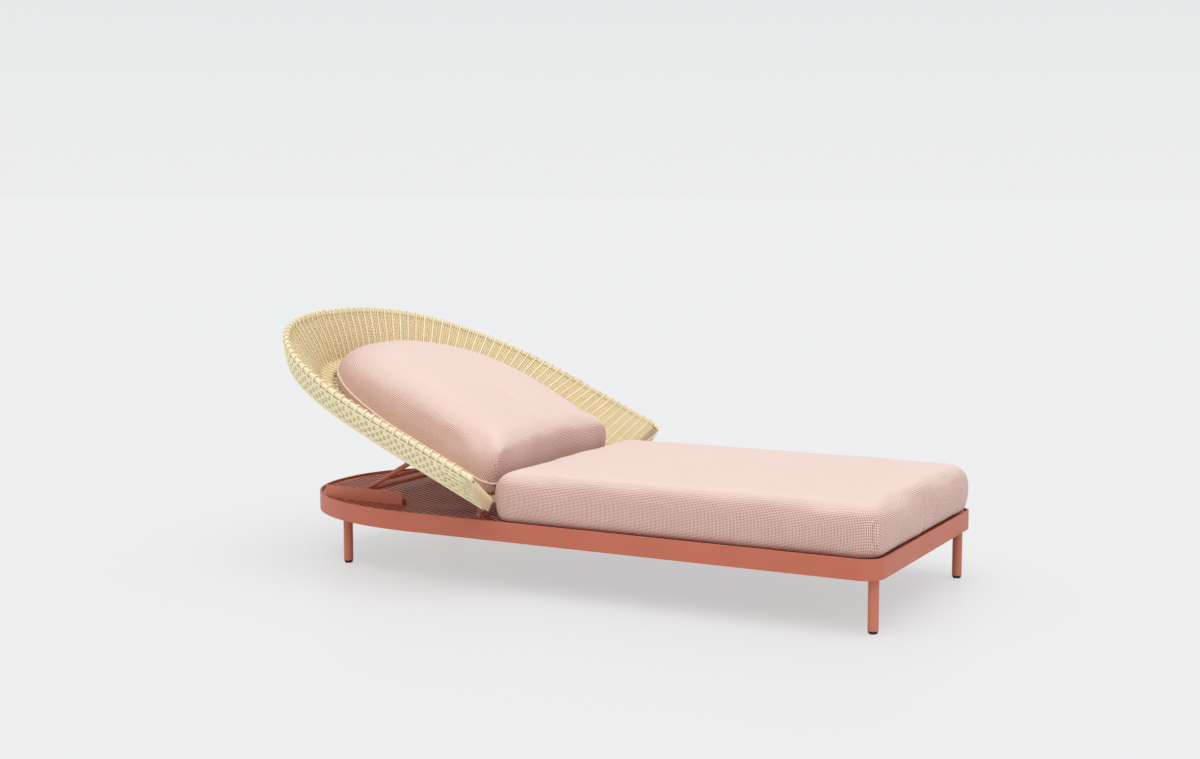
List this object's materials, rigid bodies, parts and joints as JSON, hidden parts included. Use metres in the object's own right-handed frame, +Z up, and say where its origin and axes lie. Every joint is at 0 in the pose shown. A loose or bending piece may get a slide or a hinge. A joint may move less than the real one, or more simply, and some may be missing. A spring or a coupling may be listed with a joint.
{
  "type": "sun lounger",
  "caption": "Low outdoor lounger: painted metal platform on round legs, thick seat cushion, and a wide woven dish of a back that reclines on side hinges over a ratchet prop",
  "frame": {"origin": "on the floor under the middle of the lounger's overall length and width, with the back as pictured", "axes": "+X points to the foot end, +Y to the side away from the picture's camera, +Z up"},
  "size_m": [2.1146, 1.248, 0.7943],
  "materials": {
    "paint": "terracotta powder coat, fine orange-peel, satin",
    "steel": "stainless, satin",
    "nylon": "light grey nylon",
    "glide_black": "black, soft and matt",
    "straw": "straw-coloured synthetic cane, woven over stakes",
    "cushion_cloth": "two-tone outdoor weave in pale pink and brick"
  },
  "bodies": {
    "platform": {"rim_band": "paint", "deck_sheet": "paint", "cross_beam_head": "paint", "cross_beam_hinge": "paint", "cross_beam_middle": "paint", "cross_beam_foot": "paint", "long_beams": "paint", "leg_sockets": "paint", "leg_collars": "paint", "leg_head_near": "paint", "leg_head_far": "paint", "leg_foot_near": "paint", "leg_foot_far": "paint", "leg_studs": "steel", "glides": "glide_black", "rail_near": "paint", "rail_far": "paint", "rack_near": "paint", "rack_far": "paint", "rail_screws": "steel", "hinge_bracket_near": "paint", "hinge_bracket_far": "paint", "bracket_screws": "steel", "hinge_pins": "steel", "seat_cushion": "cushion_cloth"},
    "backrest": {"base_hoop": "paint", "cross_tube_low": "paint", "cross_tube_mid": "paint", "cross_tube_high": "paint", "hinge_lug_near": "paint", "hinge_lug_far": "paint", "hinge_bushes": "nylon", "prop_lugs": "paint", "prop_pins": "steel", "rim_hoop": "steel", "rim_roll": "straw", "end_rolls": "straw", "woven_wall": "straw", "woven_skirt": "straw", "woven_floor": "straw", "stakes": "straw", "back_cushion": "cushion_cloth"},
    "prop": {"prop_arm_near": "paint", "prop_arm_far": "paint", "prop_bar": "paint", "prop_brace": "paint", "prop_bushes": "nylon", "bar_sleeves": "glide_black"}
  },
  "joints": [
    {"name": "back_recline", "type": "hinge", "parent": "platform", "child": "backrest", "pos_m": [-0.23108, 0, 0.218], "axis": [0, 1, 0], "range_deg": [-24.1, 18.9]},
    {"name": "prop_swing", "type": "hinge", "parent": "backrest", "child": "prop", "pos_m": [-0.51948, 0, 0.36431], "axis": [0, 1, 0], "range_deg": [-46, 58]}
  ],
  "couplings": [
    {"joint": "prop_swing", "follows": "back_recline", "ratio": -2.3254}
  ]
}
